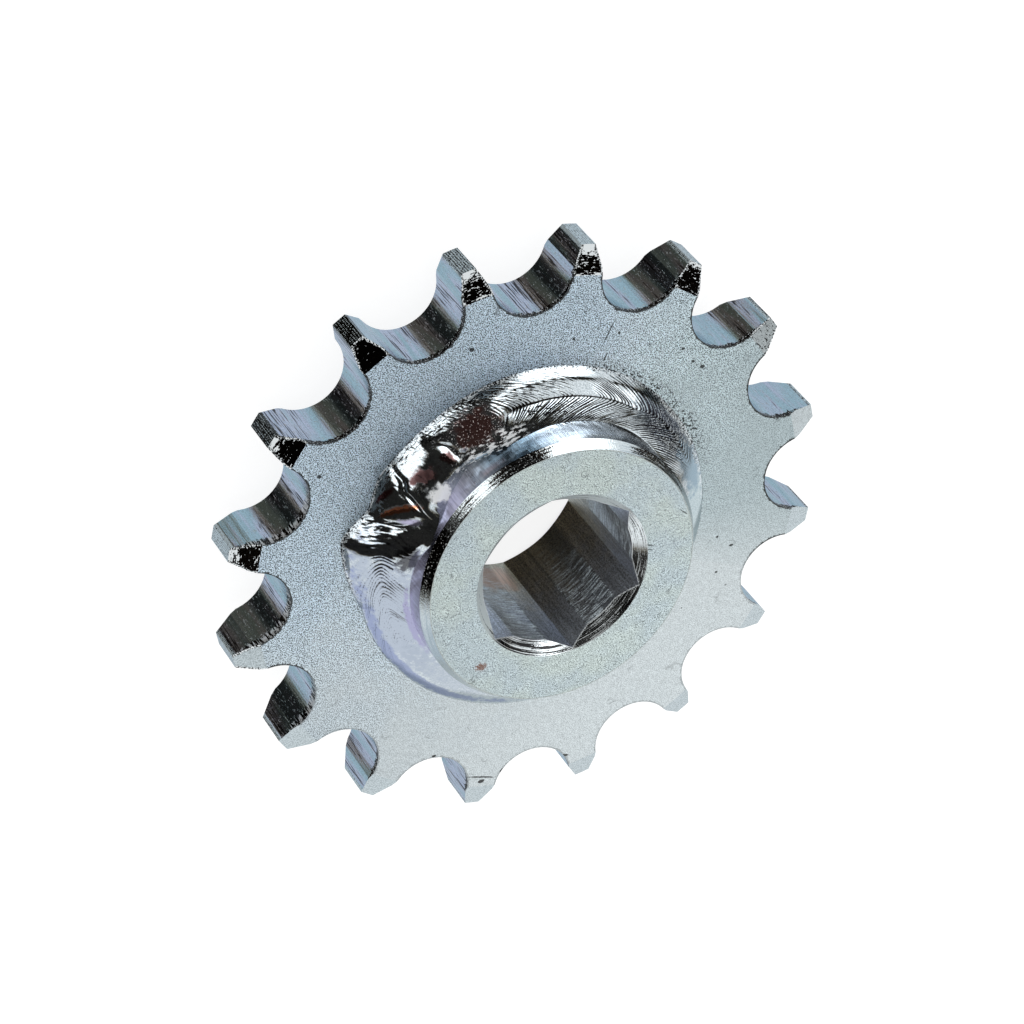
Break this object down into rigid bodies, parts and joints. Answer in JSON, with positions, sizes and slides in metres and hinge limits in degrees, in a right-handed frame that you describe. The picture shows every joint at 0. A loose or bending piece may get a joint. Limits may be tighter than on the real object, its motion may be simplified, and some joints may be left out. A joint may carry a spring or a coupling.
{
  "type": "chain sprocket",
  "caption": "Steel roller chain sprocket: a toothed plate with relieved tips, welded by one fillet bead to a turned hub with a hexagonal bore.",
  "frame": {"origin": "on the shaft axis, in the plane of the hub's rear end face", "axes": "+Z along the shaft axis, from the hub's short end towards its welded end; +X towards the bottom of a tooth gap and a corner of the hexagonal bore"},
  "size_m": [0.0684, 0.0684, 0.0182],
  "materials": {
    "plate_steel": "zinc plated steel, fine grain on the faces, drawn marks along the teeth",
    "hub_steel": "turned and zinc plated steel, fine concentric marks",
    "weld_metal": "bright rippled weld metal under zinc"
  },
  "bodies": {
    "root": {"toothed_plate": "plate_steel", "hub": "hub_steel", "weld_bead": "weld_metal"}
  },
  "joints": []
}
